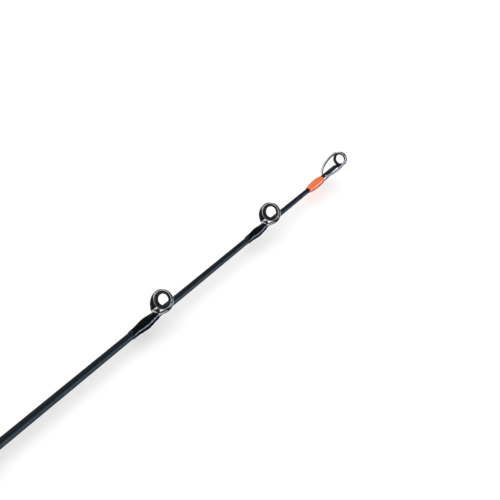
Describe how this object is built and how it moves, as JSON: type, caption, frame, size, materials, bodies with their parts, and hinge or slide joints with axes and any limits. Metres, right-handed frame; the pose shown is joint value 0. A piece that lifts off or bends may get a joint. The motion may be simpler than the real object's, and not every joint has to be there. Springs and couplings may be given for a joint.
{
  "type": "casting rod",
  "caption": "Long slim casting rod: tapered blank in sections joined by a ferrule, ringed guides with glossy bindings, orange-bound tip-top, trigger reel seat and split foam grips.",
  "frame": {"origin": "middle of the flat end face of the butt cap, on the blank's axis", "axes": "+X along the blank from the butt to the tip; +Z toward the reel and the guides; the trigger points to -Z; +Y to the left of an angler who looks along the rod to its tip"},
  "size_m": [1.9798, 0.0286, 0.0598],
  "materials": {
    "blank": "satin",
    "wrap": "gloss",
    "orange_wrap": "gloss",
    "frame": "polished",
    "ceramic": "polished",
    "anodised": "satin",
    "trim": "satin",
    "foam": "matte",
    "rubber": "matte",
    "seat": "satin",
    "liner": "matte",
    "arbor": "matte"
  },
  "bodies": {
    "handle": {"guide_8_frame": "frame", "guide_8_ring": "ceramic", "guide_8_rear_wrap": "wrap", "guide_8_front_wrap": "wrap", "butt_blank": "blank", "butt_cap": "rubber", "butt_trim_ring": "trim", "butt_grip": "foam", "butt_winding_check": "anodised", "rear_winding_check": "anodised", "rear_grip": "foam", "fore_grip": "foam", "fore_winding_check": "anodised", "rear_arbor": "arbor", "front_arbor": "arbor", "reel_seat_body": "seat", "fixed_hood": "anodised", "fixed_hood_liner": "liner", "hook_keeper": "frame", "hook_keeper_rear_wrap": "wrap", "hook_keeper_front_wrap": "wrap"},
    "tip_section": {"tip_blank": "blank", "ferrule_wrap": "wrap", "tip_top_frame": "frame", "tip_top_ring": "ceramic", "tip_top_wrap": "orange_wrap", "guide_1_frame": "frame", "guide_1_ring": "ceramic", "guide_1_wrap": "wrap", "guide_2_frame": "frame", "guide_2_ring": "ceramic", "guide_2_wrap": "wrap", "guide_3_frame": "frame", "guide_3_ring": "ceramic", "guide_3_wrap": "wrap", "guide_4_frame": "frame", "guide_4_ring": "ceramic", "guide_4_wrap": "wrap", "guide_5_frame": "frame", "guide_5_ring": "ceramic", "guide_5_wrap": "wrap", "guide_6_frame": "frame", "guide_6_ring": "ceramic", "guide_6_wrap": "wrap", "guide_7_frame": "frame", "guide_7_ring": "ceramic", "guide_7_rear_wrap": "wrap", "guide_7_front_wrap": "wrap"},
    "moving_hood": {"moving_hood": "anodised", "moving_hood_liner": "liner"},
    "lock_nut": {"lock_nut": "anodised"}
  },
  "joints": [
    {"name": "tip_section_slide", "type": "slide", "parent": "handle", "child": "tip_section", "axis": [1, 0, 0], "range_m": [0, 0.065]},
    {"name": "moving_hood_slide", "type": "slide", "parent": "handle", "child": "moving_hood", "axis": [-1, 0, 0], "range_m": [0, 0.016]},
    {"name": "lock_nut_turn", "type": "hinge", "parent": "moving_hood", "child": "lock_nut", "pos_m": [0.37555, 0, 0], "axis": [-1, 0, 0], "range_deg": [0, 2879]}
  ],
  "couplings": [
    {"joint": "moving_hood_slide", "follows": "lock_nut_turn", "m_per_rad": 0.00031831}
  ]
}
